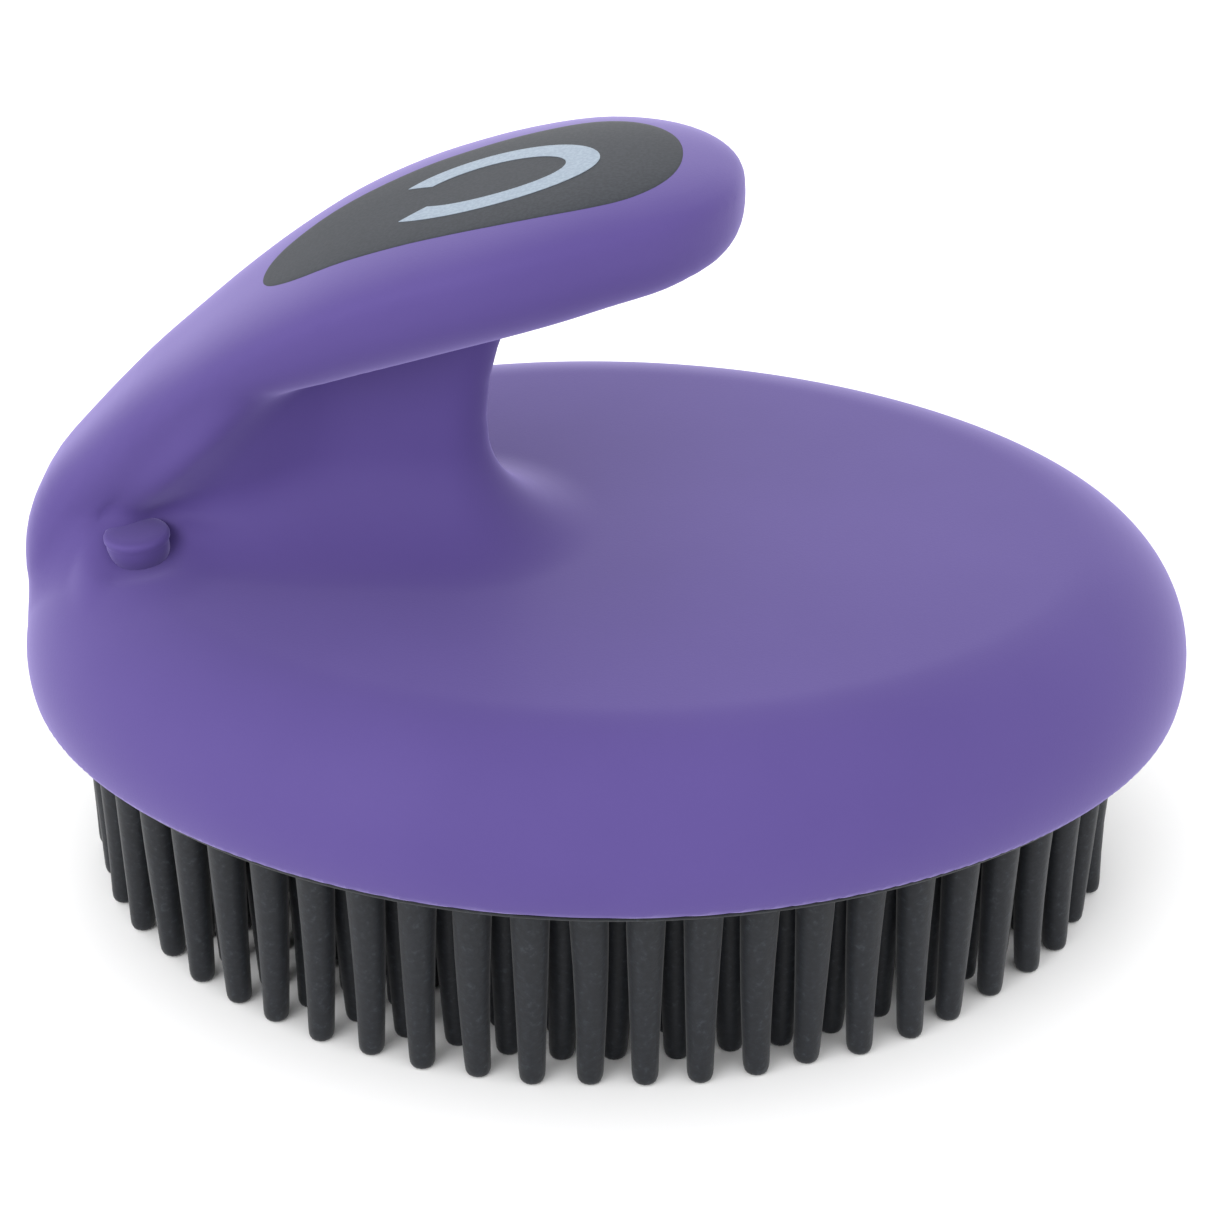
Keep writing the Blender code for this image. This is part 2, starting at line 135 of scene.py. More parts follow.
# inlay outline: x along the handle, half width
INLAY_OUTLINE = [
    (-38.8, 0.0), (-38.3, 3.2), (-36.6, 5.9), (-33.0, 8.3), (-27.4, 10.0), (-21.5, 11.4), (-16.2, 12.3),
    (-10.5, 13.0), (-5.1, 13.2), (-1.0, 12.9), (2.6, 11.8), (5.4, 9.8), (7.5, 7.0), (8.7, 3.8), (9.1, 0.0),
]

INLAY_POINTS = 160
INLAY_CENTRE = np.array([-14.0, 0.0])
INLAY_LIFT = 0.06         # how far the inlay stands proud of the handle
# rings from the sunk edge to the centre: share of the outline, and lift over the handle
INLAY_SHARES = [1.0, 1.0, 0.994, 0.985, 0.96] + list(np.linspace(0.92, 0.04, 22))
INLAY_LIFTS = [-1.2, -0.05, 0.02, 0.05] + [INLAY_LIFT] * 23

# plain horseshoe on the inlay: reach along the handle and half width of its two edges
MARK_X = -12.6
MARK_OUTER = (12.4, 7.6)
MARK_INNER = (8.6, 4.7)
MARK_SPREAD = math.radians(142)
MARK_STEPS = 64
MARK_ACROSS = 7
MARK_LIFT = 0.11          # of its top over the handle
MARK_UNDER = 0.02         # and of its underside

TOOTH_RING_LENGTH = 61.3
TOOTH_RING_WIDTH = 48.4
TOOTH_RING_POWER = 1.92
TOOTH_RING_SHIFT = -0.4
TOOTH_RING_STEP = 4.66
TOOTH_RING_LEAST = 4.0    # smallest half width of a ring
TOOTH_RING_START = 0.75   # share of a turn where each ring's first tooth is counted from
TOOTH_PITCH = 6.33
TOOTH_PHASES = (0.31, 0.81, 0.65, 0.15)
PAD_LIP_BOTTOM = 26.0
PAD_LIP_INSET = 0.8
PAD_LIP_POINTS = 160
# rings of the lip: how far it grows outwards, and height over its bottom
PAD_LIP = [(-0.7, 0.0), (-0.25, 0.06), (-0.05, 0.2), (0.0, 0.4), (0.0, 0.5), (-0.1, 0.6), (-2.8, 0.6),
           (-2.9, 2.7)]
TOOTH_SEED = 11
TOOTH_SIDES = 16
TOOTH_LEAN = 0.22         # spread of the tips' sideways lean
TOOTH_BOW = 0.16          # spread of the bow at mid height
TOOTH_ROOT = 0.5          # how far a tooth goes into the pad
# tooth radius and how far down the tooth, from the pad's face to the tip
TOOTH_PROFILE = [(2.6, 0.0), (2.35, 0.6), (2.25, 1.6), (2.15, 5.0), (1.98, 10.0), (1.8, 15.5), (1.64, 20.5),
                 (1.53, 24.6), (1.47, 25.3), (1.34, 25.72), (1.08, 25.93), (0.6, 25.99), (0.0, 26.0)]

# ---- floor: half side and how far it lies below the tips, millimetres ----
FLOOR_HALF = 2500
FLOOR_DROP = 0.05


# ---- materials ----
def new_material(name):
    """Material, its node tree and its shader."""
    mat = bpy.data.materials.new(name)
    mat.use_nodes = True
    tree = mat.node_tree
    return mat, tree, tree.nodes["Principled BSDF"]


def noise(tree, scale, detail=2.0, rough=0.5):
    """Noise that is fixed to the object; its scale is per metre."""
    coords = tree.nodes.new("ShaderNodeTexCoord")
    node = tree.nodes.new("ShaderNodeTexNoise")
    node.inputs["Scale"].default_value = scale
    node.inputs["Detail"].default_value = detail
    node.inputs["Roughness"].default_value = rough
    tree.links.new(coords.outputs["Object"], node.inputs["Vector"])
    return node


def ramp(tree, source, stops):
    node = tree.nodes.new("ShaderNodeValToRGB")
    while len(node.color_ramp.elements) < len(stops):
        node.color_ramp.elements.new(0.5)
    for element, (place, color) in zip(node.color_ramp.elements, stops):
        element.position = place
        element.color = (*color, 1.0)
    tree.links.new(source, node.inputs["Fac"])
    return node


def bump(tree, bsdf, source, strength, distance):
    node = tree.nodes.new("ShaderNodeBump")
    node.inputs["Strength"].default_value = strength
    node.inputs["Distance"].default_value = distance
    tree.links.new(source, node.inputs["Height"])
    tree.links.new(node.outputs["Normal"], bsdf.inputs["Normal"])


def soft_skin():
    """Soft-touch purple rubber: fine grain, faint clouding and a violet sheen."""
    mat, tree, bsdf = new_material("soft_purple")
    cloud = noise(tree, 28.0, 3.0)
    tint = ramp(tree, cloud.outputs["Fac"], [(0.35, (0.071, 0.048, 0.186)), (0.65, (0.078, 0.053, 0.199))])
    tree.links.new(tint.outputs["Color"], bsdf.inputs["Base Color"])
    grain = noise(tree, 4200.0)
    rough = tree.nodes.new("ShaderNodeMapRange")
    rough.inputs["To Min"].default_value = 0.56
    rough.inputs["To Max"].default_value = 0.68
    tree.links.new(grain.outputs["Fac"], rough.inputs["Value"])
    tree.links.new(rough.outputs["Result"], bsdf.inputs["Roughness"])
    bump(tree, bsdf, grain.outputs["Fac"], 0.12, 0.00008)
    bsdf.inputs["Specular IOR Level"].default_value = 0.12
    bsdf.inputs["Sheen Weight"].default_value = 0.48
    bsdf.inputs["Sheen Roughness"].default_value = 0.42
    bsdf.inputs["Sheen Tint"].default_value = (0.62, 0.54, 1.0, 1.0)
    return mat


def black_rubber():
    """Dull blue-black rubber with paler specks."""
    mat, tree, bsdf = new_material("black_rubber")
    speck = noise(tree, 1500.0, 3.0, 0.6)
    tint = ramp(tree, speck.outputs["Fac"],
                [(0.42, (0.0035, 0.0048, 0.0075)), (0.60, (0.0065, 0.0085, 0.0125)),
                 (0.72, (0.018, 0.022, 0.028))])
    tree.links.new(tint.outputs["Color"], bsdf.inputs["Base Color"])
    bsdf.inputs["Roughness"].default_value = 0.62
    bsdf.inputs["Specular IOR Level"].default_value = 0.35
    bump(tree, bsdf, speck.outputs["Fac"], 0.25, 0.00015)
    bsdf.inputs["Sheen Weight"].default_value = 0.15
    bsdf.inputs["Sheen Roughness"].default_value = 0.4
    return mat


def satin(name, low, high, roughness):
    """Plastic or print with a fine grain between two close colours."""
    mat, tree, bsdf = new_material(name)
    grain = noise(tree, 2600.0)
    tint = ramp(tree, grain.outputs["Fac"], [(0.4, low), (0.62, high)])
    tree.links.new(tint.outputs["Color"], bsdf.inputs["Base Color"])
    bsdf.inputs["Roughness"].default_value = roughness
    bsdf.inputs["Specular IOR Level"].default_value = 0.25
    bump(tree, bsdf, grain.outputs["Fac"], 0.15, 0.00006)
    return mat


def brushed_steel():
    """Plain bright steel for the screws."""
    mat, tree, bsdf = new_material("screw_steel")
    grain = noise(tree, 900.0)
    tint = ramp(tree, grain.outputs["Fac"], [(0.3, (0.5, 0.5, 0.51)), (0.7, (0.65, 0.65, 0.66))])
    tree.links.new(tint.outputs["Color"], bsdf.inputs["Base Color"])
    bsdf.inputs["Metallic"].default_value = 1.0
    bsdf.inputs["Roughness"].default_value = 0.35
    return mat


# ---- shape functions, all in millimetres, negative inside ----
def curve_point(p0, p1, p2, p3, t):
    """Point of a smooth curve, at share t of the way from p1 to p2."""
    return 0.5 * ((2 * p1) + (p2 - p0) * t + (2 * p0 - 5 * p1 + 4 * p2 - p3) * t ** 2
                  + (3 * p1 - p0 - 3 * p2 + p3) * t ** 3)


def open_curve(points, per_span):
    """Rows on a smooth curve through all the points."""
    rows = []
    n = len(points)
    for i in range(n - 1):
        p0, p1 = points[max(i - 1, 0)], points[i]
        p2, p3 = points[i + 1], points[min(i + 2, n - 1)]
        for k in range(per_span):
            rows.append(curve_point(p0, p1, p2, p3, k / per_span))
    rows.append(points[-1])
    return np.array(rows)


LINE = open_curve(HANDLE, LINE_SPAN)
LINE_RUN = np.concatenate([[0.0], np.cumsum(np.hypot(np.diff(LINE[:, 0]), np.diff(LINE[:, 1])))])
CAP_FROM = np.interp(CAP_START, LINE[LINE_RISING:, 0], LINE_RUN[LINE_RISING:])
CAP_LONG = np.interp(CAP_END, LINE[LINE_RISING:, 0], LINE_RUN[LINE_RISING:]) - CAP_FROM + CAP_EXTRA


def along_handle(x, z):
    """Offset above the handle's middle line, and at the nearest place on it the reach above,
    the reach below, the half width, and how far into the nose it is."""
    a, b = LINE[:-1, :2], LINE[1:, :2]
    step = b - a
    size = np.hypot(step[:, 0], step[:, 1])
    best = np.full(x.shape, 1e9)
    offset = np.zeros(x.shape)
    info = np.zeros(x.shape + (4,))
    for i in range(len(a)):
        dx, dz = x - a[i, 0], z - a[i, 1]
        raw = (dx * step[i, 0] + dz * step[i, 1]) / size[i] ** 2
        t = np.clip(raw, 0.0, PAST_END if i == len(a) - 1 else 1.0)
        ex, ez = dx - t * step[i, 0], dz - t * step[i, 1]
        dist = ex * ex + ez * ez
        side = (step[i, 0] * dz - step[i, 1] * dx) / size[i]
        closer = dist < best - 1e-12
        best = np.where(closer, dist, best)
        offset = np.where(closer, np.sqrt(dist) * np.sign(side), offset)
        for j in range(3):
            value = LINE[i, 2 + j] + np.minimum(t, 1.0) * (LINE[i + 1, 2 + j] - LINE[i, 2 + j])
            info[..., j] = np.where(closer, value, info[..., j])
        info[..., 3] = np.where(closer, (LINE_RUN[i] + t * size[i] - CAP_FROM) / CAP_LONG, info[..., 3])
    return offset, info


def handle_field(y, offset, info):
    """Signed distance, close to the surface, of the palm handle."""
    nose = np.clip(info[..., 3], 0.0, 3.0)
    offset = offset + NOSE_DROP * np.minimum(nose, 1.1) ** 3
    swell = 1.0 + CAP_SWELL * np.minimum(nose, 1.0) ** 3
    up = np.where(offset >= 0, info[..., 0], info[..., 1]) * swell
    side = info[..., 2]
    p, q = np.where(offset >= 0, TOP_POWER, BELLY_POWER), PLAN_POWER
    u, v = np.abs(offset) / up, np.abs(y) / side
    r = (v ** q + nose ** q + 1e-9) ** (1 / q)
    g = (u ** p + r ** p + 1e-9) ** (1 / p)
    du = (u / g) ** (p - 1) / up
    dr = (r / g) ** (p - 1)
    dv = dr * (v / r) ** (q - 1) / side
    dn = dr * (nose / r) ** (q - 1) / CAP_LONG
    return (g - 1.0) / np.sqrt(du ** 2 + dv ** 2 + dn ** 2 + 1e-9)


def oval_distance(x, y):
    """Distance outside the oval that the rim's round is swept along, shoulders and heel drawn in."""
    a, b = HALF_LENGTH - RIM_RADIUS, HALF_WIDTH - RIM_RADIUS
    px, py = np.abs(x), np.abs(y)
    t = np.arctan2(py * a, px * b)
    for _ in range(4):
        c, s = np.cos(t), np.sin(t)
        dx, dy = a * c - px, b * s - py
        first = -dx * a * s + dy * b * c
        second = (a * s) ** 2 + (b * c) ** 2 - dx * a * c - dy * b * s
        t = np.clip(t - first / np.where(np.abs(second) < 1e-6, 1e-6, second), 0.0, math.pi / 2)
    dist = np.hypot(a * np.cos(t) - px, b * np.sin(t) - py)
    inside = (px / a) ** 2 + (py / b) ** 2 < 1.0
    blunt = HEEL_BLUNT * np.exp(-(y / HEEL_BLUNT_REACH) ** 2) * smooth_step(-30.0, -60.0, x)
    return np.where(inside, -dist, dist) + SHOULDER * np.sin(2 * t) ** 2 + blunt


def dome_field(edge, z):
    """Flat-topped oval with a round rim."""
    out = np.maximum(edge, 0.0)
    rise = z - RIM_HEIGHT
    return np.sqrt(out ** 2 + rise ** 2) - RIM_RADIUS


def smooth_step(low, high, x):
    """0 at low and 1 at high, eased at both ends."""
    t = np.clip((x - low) / (high - low), 0.0, 1.0)
    return t * t * (3 - 2 * t)


def round_union(a, b, radius):
    """Union whose inside corner is a round fillet."""
    r = np.maximum(radius, 1e-3)
    u, v = np.maximum(r - a, 0.0), np.maximum(r - b, 0.0)
    return np.maximum(r, np.minimum(a, b)) - np.sqrt(u * u + v * v)


def smooth_min(a, b, k):
    """Smaller of the two, rounded off where they are within k of each other."""
    h = np.maximum(k - np.abs(a - b), 0.0) / k
    return np.minimum(a, b) - h * h * k * 0.25


def smooth_max(a, b, k):
    """Larger of the two, rounded off in the same way."""
    return -smooth_min(-a, -b, k)


def web_field(x, y, z, offset, side):
    """Thin web that carries the handle; near the heel it widens upwards into the handle's side."""
    thin = WEB_HALF_THICK + 2.2 * np.exp(-((x + 43.0) / 7.0) ** 2)
    front = np.interp(z, WEB_FRONT[:, 0], WEB_FRONT[:, 1]) - thin
    rear = WEB_REAR + thin
    middle, reach = (front + rear) / 2, (front - rear) / 2
    along = np.maximum(np.abs(x - middle) - reach, 0.0)
    depth = 8.5 + 0.6 * np.clip(x + 54.0, 0.0, 20.0)
    widen = smooth_step(-27.0, -45.0, x) * smooth_step(-1.0, 0.0, (offset + 1.0) / depth)
    wall = np.sqrt(along ** 2 + y ** 2) - thin - (side - 0.8 - thin) * widen
    return smooth_max(wall * 0.85, offset + 1.0, 1.0)


def body_field(x, y, z, edge, offset, info):
    """The body's outside: oval dome, web and handle with their fillets."""
    dome = dome_field(edge, z)
    grip = handle_field(y, offset, info)
    web = web_field(x, y, z, offset, info[..., 2])
    blend = 1.2 + 7.0 * smooth_step(-30.0, -48.0, x) * smooth_step(0.0, -5.0, offset)
    upper = smooth_min(web, grip, blend)
    fillet = WEB_FLARE - 3.0 * smooth_step(-32.0, -44.0, x) - 6.5 * smooth_step(-57.0, -69.0, x)
    fillet = np.maximum(fillet - 3.0 * np.exp(-((x - PIN_X) / 6.0) ** 2), 1.5)
    whole = round_union(dome, upper, fillet)
    around = (x - PIN_X) ** 2 + (np.abs(y) - PIN_Y - 1.0) ** 2
    low = 1.0 - smooth_step(47.2, 49.0, z)
    mound = MOUND * np.exp(-(around / 72.0) ** 2) * low * smooth_step(PIN_Y - 6.0, PIN_Y - 1.5, np.abs(y))
    groove = GROOVE * np.exp(-(around / 30.0) ** 4) * low
    dent = DENT * np.exp(-((x - PIN_X) / 8.0) ** 2 - ((z - DENT_HEIGHT) / 4.5) ** 2)
    return smooth_max(whole + (groove - mound + dent), SKIN_BOTTOM - z, SKIN_EDGE)


def full_field(x, y, z):
    """The body's field at separate points."""
    offset, info = along_handle(x, z)
    return body_field(x, y, z, oval_distance(x, y), offset, info)


def grid_values(xs, ys, zs):
    """The body's field on a grid; the slow parts are worked out once for each plane."""
    gx, gz = np.meshgrid(xs, zs, indexing="ij")
    offset, info = along_handle(gx, gz)
    ex, ey = np.meshgrid(xs, ys, indexing="ij")
    edge = oval_distance(ex, ey)
    x, y, z = xs[:, None, None], ys[None, :, None], zs[None, None, :]
    return body_field(x, y, z, edge[:, :, None], offset[:, None, :], info[:, None, :, :])


# ---- meshing ----
def surface_net(values, origin, step):
    """Vertices and quads of the zero surface of a grid of values."""
    inside = values < 0
    corners = [(i, j, k) for i in (0, 1) for j in (0, 1) for k in (0, 1)]
    nx, ny, nz = (n - 1 for n in values.shape)

    def part(grid, c):
        return grid[c[0]:c[0] + nx, c[1]:c[1] + ny, c[2]:c[2] + nz]

    count = sum(part(inside, c).astype(np.int8) for c in corners)
    active = (count > 0) & (count < 8)
    cells = np.argwhere(active)
    total = np.zeros((len(cells), 3))
    hits = np.zeros(len(cells))
    for a in corners:
        for axis in range(3):
            if a[axis]:
                continue
            b = tuple(1 if d == axis else a[d] for d in range(3))
            va, vb = part(values, a)[active], part(values, b)[active]
            cross = (va < 0) != (vb < 0)
            t = np.where(cross, va / np.where(cross, va - vb, 1.0), 0.0)
            point = np.array(a, float)[None, :].repeat(len(cells), 0)
            point[:, axis] += t
            total += point * cross[:, None]
            hits += cross
    verts = (cells + total / hits[:, None]) * step + origin
    index = np.full(active.shape, -1, np.int64)
    index[active] = np.arange(len(cells))
    quads = []
    for axis in range(3):
        first, second = [d for d in range(3) if d != axis]
        low = np.moveaxis(inside, axis, 0)
        change = np.moveaxis(low[:-1] != low[1:], 0, axis)
        starts = np.moveaxis(low[:-1], 0, axis)
        where = np.argwhere(change)
        keep = (where[:, first] > 0) & (where[:, second] > 0)
        keep &= (where[:, first] < index.shape[first]) & (where[:, second] < index.shape[second])
        where = where[keep]
        ring = []
        for df, ds in ((1, 1), (0, 1), (0, 0), (1, 0)):
            spot = where.copy()
            spot[:, first] -= df
            spot[:, second] -= ds
            ring.append(index[spot[:, 0], spot[:, 1], spot[:, 2]])
        quad = np.stack(ring, 1)
        flip = starts[where[:, 0], where[:, 1], where[:, 2]]
        if axis != 1:
            flip = ~flip
        quad[flip] = quad[flip][:, ::-1]
        quads.append(quad)
    return verts, np.concatenate(quads)


def settle(points, field):
    """Moves points onto the zero surface of a field."""
    start = points.copy()
    for _ in range(SETTLE_ROUNDS):
        value = field(*points.T)
        slope = np.zeros_like(points)
        for axis in range(3):
            ahead, behind = points.copy(), points.copy()
            ahead[:, axis] += SLOPE_STEP
            behind[:, axis] -= SLOPE_STEP
            slope[:, axis] = (field(*ahead.T) - field(*behind.T)) / (2 * SLOPE_STEP)
        size = (slope ** 2).sum(1) + 1e-6
        move = slope * (value / size)[:, None]
        points = points - np.clip(move, -SETTLE_LIMIT, SETTLE_LIMIT)
    far = np.linalg.norm(points - start, axis=1) > SETTLE_FAR
    points[far] = start[far]
    return points


def band(low, high, count, flip=False):
    """Quads between two closed rings whose points start at low and at high."""
    faces = []
    for i in range(count):
        j = (i + 1) % count
        a, b = (j, i) if flip else (i, j)
        faces.append([low + a, low + b, high + b, high + a])
    return faces


def mesh_object(name, verts, faces, smooth=True):
    """New object in metres from points in millimetres."""
    mesh = bpy.data.meshes.new(name)
    points = (np.asarray(verts, float) + (CENTRE_SHIFT, 0.0, 0.0)) * MM
    mesh.from_pydata(points.tolist(), [], [list(map(int, face)) for face in faces])
    mesh.validate()
    if smooth:
        mesh.polygons.foreach_set("use_smooth", [True] * len(mesh.polygons))
    obj = bpy.data.objects.new(name, mesh)
    bpy.context.scene.collection.objects.link(obj)
    return obj


def set_material(obj, mat):
    obj.data.materials.clear()
    obj.data.materials.append(mat)


def finish_piece(obj, mat, slot, *nodes):
    """Gives a piece its material, hides the CAD nodes it stands for, and hangs it under the root body."""
    set_material(obj, mat)
    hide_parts(*nodes)
    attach(obj, "root")


def make_body():
    """Soft body in one piece, kept inside the CAD box."""
    low = np.array(GRID_LOW)
    shape = np.ceil((np.array(GRID_HIGH) - low) / GRID_STEP).astype(int) + 1
    values = grid_values(*(low[d] + np.arange(shape[d]) * GRID_STEP for d in range(3)))
    verts, quads = surface_net(values, low, GRID_STEP)
    verts = settle(verts, full_field)
    middle = np.array([CENTRE_SHIFT, 0.0, 0.0])
    verts = np.clip(verts, np.array(CAD_BOX[0]) / MM - middle, np.array(CAD_BOX[1]) / MM - middle)
    return mesh_object("soft_body", verts, quads)


def top_of_handle(x, y):
    """Height of the handle's top surface over points in plan."""
    # steps down to the first inside point, then halves the last step
    z = np.full(len(x), SEARCH_TOP)
    low = np.full(len(x), SEARCH_FLOOR)
    found = np.zeros(len(x), bool)
    for _ in range(80):
        hit = (full_field(x, y, z) < 0) & ~found
        low = np.where(hit, z, low)
        found |= hit
        z = np.where(found, z, z - SEARCH_STEP)
    high = low + SEARCH_STEP
    for _ in range(14):
        mid = (low + high) / 2
        inside = full_field(x, y, mid) < 0
        low, high = np.where(inside, mid, low), np.where(inside, high, mid)
    return (low + high) / 2


def smooth_outline(points, count):
    """Closed even outline through symmetric plan points (x, half width)."""
    loop = np.array(points + [(x, -w) for x, w in reversed(points[1:-1])])
    n = len(loop)
    dense = []
    for i in range(n):
        p0, p1, p2, p3 = loop[i - 1], loop[i], loop[(i + 1) % n], loop[(i + 2) % n]
        for t in np.linspace(0, 1, 16, endpoint=False):
            dense.append(curve_point(p0, p1, p2, p3, t))
    dense = np.array(dense)
    closed = np.vstack([dense, dense[:1]])
    run = np.concatenate([[0], np.cumsum(np.linalg.norm(np.diff(closed, axis=0), axis=1))])
    want = np.linspace(0, run[-1], count, endpoint=False)
    return np.column_stack([np.interp(want, run, closed[:, d]) for d in (0, 1)])


def make_inlay():
    """Grey inlay that follows the handle's top, with its edge turned down into it."""
    outline = smooth_outline(INLAY_OUTLINE, INLAY_POINTS)
    centre = INLAY_CENTRE
    rings = []
    for share, lift in zip(INLAY_SHARES, INLAY_LIFTS):
        xy = centre + (outline - centre) * share
        z = top_of_handle(xy[:, 0], xy[:, 1]) + lift
        rings.append(np.column_stack([xy, z]))
    n = len(outline)
    faces = []
    for r in range(len(rings) - 1):
        faces += band(r * n, (r + 1) * n, n)
    top_centre = np.array([[centre[0], 0.0, top_of_handle(centre[:1], centre[1:])[0] + INLAY_LIFT]])
    base_centre = np.array([[centre[0], 0.0, rings[0][:, 2].mean()]])
    verts = np.vstack(rings + [top_centre, base_centre])
    last = (len(rings) - 1) * n
    for i in range(n):
        j = (i + 1) % n
        faces.append([last + i, last + j, len(verts) - 2])
        faces.append([j, i, len(verts) - 1])
    return mesh_object("inlay_plate", verts, faces)


def horseshoe_outline():
    """Outside and inside edges of a plain horseshoe, open towards the heel."""
    t = np.linspace(-MARK_SPREAD, MARK_SPREAD, MARK_STEPS + 1)
    return [np.column_stack([MARK_X + reach * np.cos(t), half * np.sin(t)])
            for reach, half in (MARK_OUTER, MARK_INNER)]


def make_mark():
    """Thin printed horseshoe that follows the inlay."""
    outside, inside = horseshoe_outline()
    across = MARK_ACROSS
    rows = []
    for k in range(across + 1):
        xy = outside + (inside - outside) * k / across
        z = top_of_handle(xy[:, 0], xy[:, 1])
        rows.append(np.column_stack([xy, z]))
    top = np.array(rows)
    n = top.shape[1]
    under = top.copy()
    top[..., 2] += MARK_LIFT
    under[..., 2] += MARK_UNDER
    verts = np.vstack([top.reshape(-1, 3), under.reshape(-1, 3)])
    base = top.shape[0] * n
    faces = []
    for k in range(across):
        for i in range(n - 1):
            a = k * n + i
            faces.append([a, a + 1, a + n + 1, a + n])
            faces.append([base + a + n, base + a + n + 1, base + a + 1, base + a])
    edge = list(range(n)) + [k * n + n - 1 for k in range(1, across + 1)]
    edge += [across * n + i for i in range(n - 2, -1, -1)] + [k * n for k in range(across - 1, 0, -1)]
    for a, b in zip(edge, edge[1:] + edge[:1]):
        faces.append([b, a, base + a, base + b])
    return mesh_object("horseshoe_mark", verts, faces, smooth=False)


def tooth_places():
    """Plan places of the teeth: one in the middle, then rings from the outside in."""
    places = [(0.0, 0.0)]
    ring = 0
    while TOOTH_RING_WIDTH - ring * TOOTH_RING_STEP >= TOOTH_RING_LEAST:
        half_x = TOOTH_RING_LENGTH - ring * TOOTH_RING_STEP
        half_y = TOOTH_RING_WIDTH - ring * TOOTH_RING_STEP
        t = np.linspace(0, 2 * math.pi, 1441)
        c, s = np.cos(t), np.sin(t)
        px = half_x * np.sign(c) * np.abs(c) ** (2 / TOOTH_RING_POWER)
        py = half_y * np.sign(s) * np.abs(s) ** (2 / TOOTH_RING_POWER)
        run = np.concatenate([[0], np.cumsum(np.hypot(np.diff(px), np.diff(py)))])
        number = int(round(run[-1] / TOOTH_PITCH))
        shift = TOOTH_RING_START + TOOTH_PHASES[ring % len(TOOTH_PHASES)] / number
        want = np.sort((np.arange(number) / number + shift) % 1.0) * run[-1]
        places += list(zip(np.interp(want, run, px) + TOOTH_RING_SHIFT, np.interp(want, run, py)))
        ring += 1
    return places


def pad_ring(grow, z, count):
    """Closed ring parallel to the body's lower edge."""
    drop = RIM_HEIGHT - SKIN_BOTTOM
    inset = RIM_RADIUS - math.sqrt(RIM_RADIUS ** 2 - drop ** 2) + PAD_LIP_INSET - grow
    t = 2 * math.pi * np.arange(count) / count
    c, s = np.cos(t), np.sin(t)
    nx, ny = c / HALF_LENGTH, s / HALF_WIDTH
    size = np.hypot(nx, ny)
    blunt = HEEL_BLUNT * np.exp(-(HALF_WIDTH * s / HEEL_BLUNT_REACH) ** 2) * (c < 0)
    inset = inset + SHOULDER * np.sin(2 * t) ** 2 + blunt
    return np.column_stack([HALF_LENGTH * c - inset * nx / size, HALF_WIDTH * s - inset * ny / size,
                            np.full(count, z)])


def add_tooth(verts, faces, place, lean, bow):
    """One tapered tooth from the pad's face down to its rounded tip, with a short root in the pad."""
    base, sides, rows = len(verts), TOOTH_SIDES, len(TOOTH_PROFILE) - 1
    px, py = place
    turn = np.linspace(0, 2 * math.pi, sides, endpoint=False)
    for radius, down in TOOTH_PROFILE[:-1]:
        share = down / PAD_LIP_BOTTOM
        cx = px + lean[0] * share ** 2 + bow[0] * math.sin(share * math.pi)
        cy = py + lean[1] * share ** 2 + bow[1] * math.sin(share * math.pi)
        for a in turn:
            verts.append((cx + radius * math.cos(a), cy + radius * math.sin(a), PAD_LIP_BOTTOM - down))
    for r in range(rows - 1):
        faces += band(base + r * sides, base + (r + 1) * sides, sides, flip=True)
    verts.append((px + lean[0], py + lean[1], 0.0))
    end = base + (rows - 1) * sides
    for i in range(sides):
        faces.append([end + (i + 1) % sides, end + i, len(verts) - 1])
    cap = len(verts)
    verts += [(x, y, z + TOOTH_ROOT) for x, y, z in verts[base:base + sides]]
    faces += band(base, cap, sides)
    faces.append([cap + i for i in range(sides)])


def make_teeth():
    """Rubber pad: rounded lip and slightly uneven tapered teeth."""
    rng = np.random.RandomState(TOOTH_SEED)
    verts, faces = [], []
    for place in tooth_places():
        lean = rng.normal(0.0, TOOTH_LEAN, 2)
        bow = rng.normal(0.0, TOOTH_BOW, 2)
        add_tooth(verts, faces, place, lean, bow)
    base, count = len(verts), PAD_LIP_POINTS
    for grow, above in PAD_LIP:
        verts += [tuple(p) for p in pad_ring(grow, PAD_LIP_BOTTOM + above, count)]
    for r in range(len(PAD_LIP) - 1):
        faces += band(base + r * count, base + (r + 1) * count, count)
    faces.append([base + i for i in reversed(range(count))])
    faces.append([base + (len(PAD_LIP) - 1) * count + i for i in range(count)])
    return mesh_object("rubber_pad", verts, faces)


def make_pin(name, side):
    """Small flat topped pin with a softened edge, leaning slightly to the heel."""
    verts, faces = [], []
    for radius, above in PIN_PROFILE:
        z = PIN_TOP + above
        for k in range(PIN_SIDES):
            a = 2 * math.pi * k / PIN_SIDES
            verts.append((PIN_X + radius * math.cos(a) - PIN_LEAN * (z - PIN_TOP + 2.5),
                          side * PIN_Y + radius * math.sin(a), z + PIN_TILT * radius * math.cos(a)))
    for r in range(len(PIN_PROFILE) - 1):
        faces += band(r * PIN_SIDES, (r + 1) * PIN_SIDES, PIN_SIDES)
    obj = mesh_object(name, verts, faces)
    bm = bmesh.new()
    bm.from_mesh(obj.data)
    bmesh.ops.remove_doubles(bm, verts=bm.verts, dist=1e-6)
    bmesh.ops.recalc_face_normals(bm, faces=bm.faces)
    bm.to_mesh(obj.data)
    bm.free()
    return obj


# ---- camera and light ----
def aim(obj, target):
    direction = Vector(target) - obj.location
    obj.rotation_euler = direction.to_track_quat("-Z", "Y").to_euler()


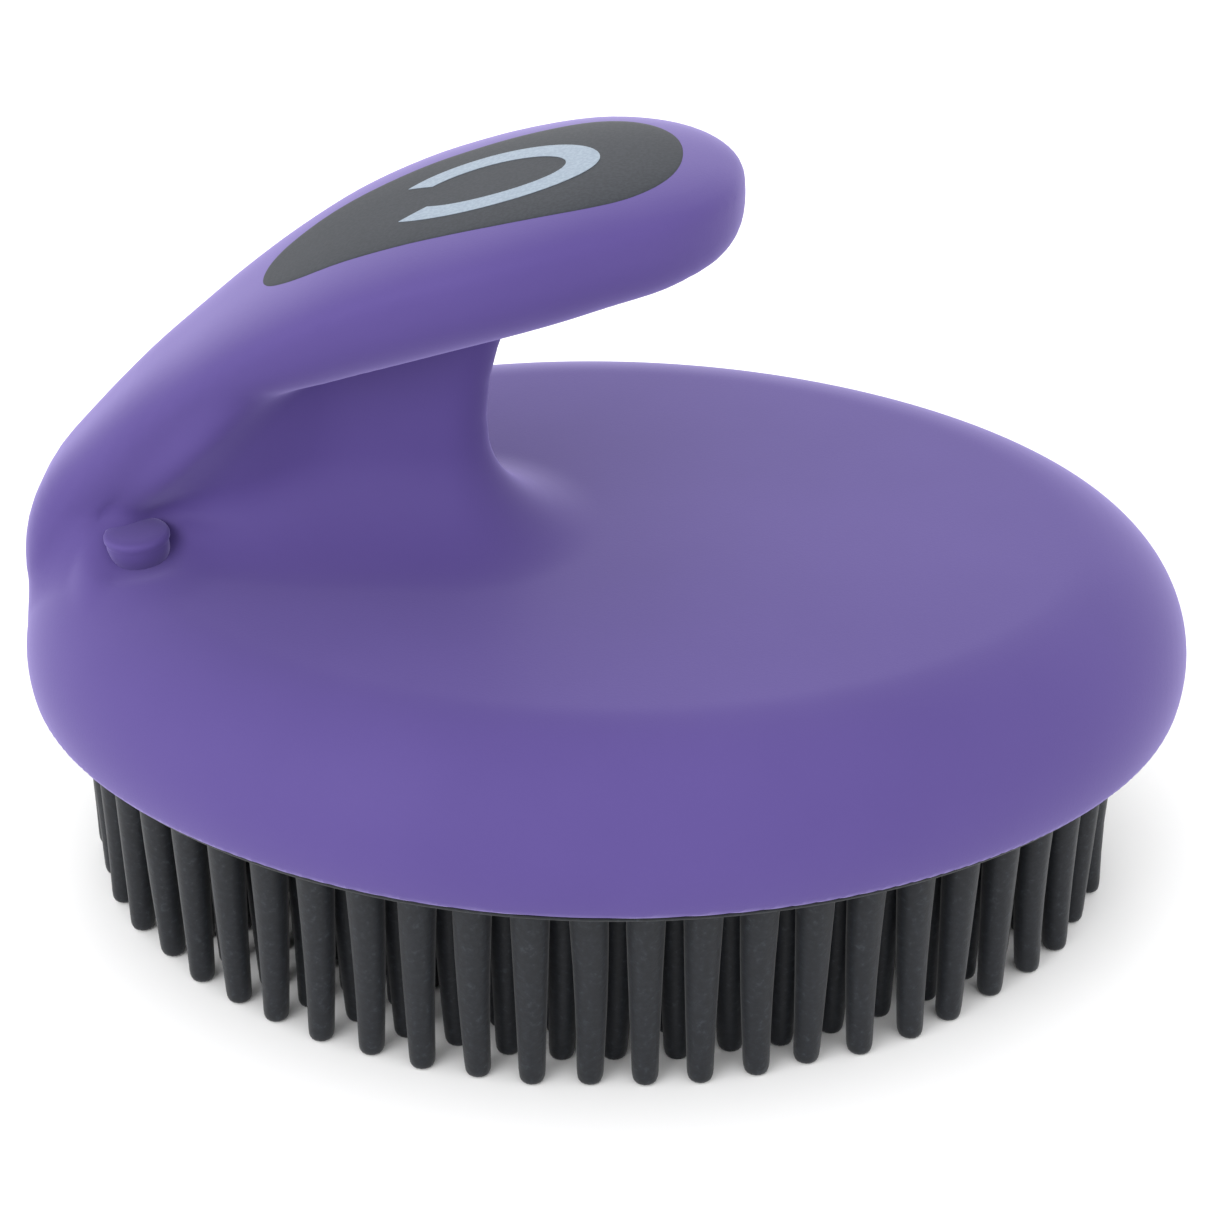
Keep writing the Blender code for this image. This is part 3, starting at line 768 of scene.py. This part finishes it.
def make_camera():
    """Camera that looks down at the comb from its side."""
    data = bpy.data.cameras.new("view")
    data.lens = CAMERA_LENS
    data.sensor_width = CAMERA_SENSOR
    data.clip_start, data.clip_end = 0.01, 50.0
    camera = bpy.data.objects.new("view", data)
    bpy.context.scene.collection.objects.link(camera)
    az, el = math.radians(CAMERA_AZIMUTH), math.radians(CAMERA_ELEVATION)
    back = Vector((math.sin(az) * math.cos(el), -math.cos(az) * math.cos(el), math.sin(el)))
    camera.location = (Vector(CAMERA_TARGET) + back * CAMERA_DISTANCE) * MM
    aim(camera, Vector(CAMERA_TARGET) * MM)
    bpy.context.scene.camera = camera


def area_light(name, place, target, size, power):
    """White round lamp; place and target are in metres."""
    data = bpy.data.lights.new(name, "AREA")
    data.shape = "DISK"
    data.size = size
    data.energy = power
    lamp = bpy.data.objects.new(name, data)
    lamp.location = place
    bpy.context.scene.collection.objects.link(lamp)
    aim(lamp, target)


def make_studio():
    """White surroundings, two soft lamps and a pale floor."""
    world = bpy.data.worlds.new("studio")
    world.use_nodes = True
    background = world.node_tree.nodes["Background"]
    background.inputs["Color"].default_value = (1.0, 1.0, 1.0, 1.0)
    background.inputs["Strength"].default_value = 1.5
    bpy.context.scene.world = world
    bpy.context.scene.view_settings.view_transform = "Standard"
    area_light("left_fill", (-0.6, -0.75, 0.55), (0, 0, 0.04), size=0.8, power=4.5)
    area_light("back_rim", (-0.15, 1.1, 0.2), (0, 0, 0.05), size=0.45, power=1.6)
    verts = [(i * FLOOR_HALF, j * FLOOR_HALF, -FLOOR_DROP) for i, j in ((-1, -1), (1, -1), (1, 1), (-1, 1))]
    floor = mesh_object("floor", verts, [[0, 1, 2, 3]], smooth=False)
    mat, _, bsdf = new_material("pale_floor")
    bsdf.inputs["Base Color"].default_value = (0.93, 0.93, 0.93, 1.0)
    bsdf.inputs["Roughness"].default_value = 0.9
    floor.data.materials.append(mat)


make_camera()
make_studio()
SKIN, RUBBER = soft_skin(), black_rubber()
finish_piece(make_body(), SKIN, "soft_skin", "body_skin")
finish_piece(make_teeth(), RUBBER, "black_rubber", "tooth_pad")
finish_piece(make_inlay(), satin("inlay_grey", (0.019, 0.0225, 0.029), (0.026, 0.030, 0.038), 0.65),
             "inlay_grey", "grip_inlay")
finish_piece(make_mark(), satin("mark_grey", (0.22, 0.27, 0.33), (0.26, 0.315, 0.38), 0.6),
             "mark_grey", "inlay_mark")
finish_piece(make_pin("heel_button_near", -1), SKIN, "soft_skin", "heel_pin_near")
finish_piece(make_pin("heel_button_far", 1), SKIN, "soft_skin", "heel_pin_far")
CORE = satin("core_plastic", (0.28, 0.28, 0.3), (0.33, 0.33, 0.35), 0.5)
STEEL = brushed_steel()
for node, mat in (("backing_plate", CORE), ("core_shell", CORE), ("handle_spine", CORE),
                  ("spine_screw_1", STEEL), ("spine_screw_2", STEEL), ("spine_screw_3", STEEL)):
    set_material(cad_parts[node], mat)
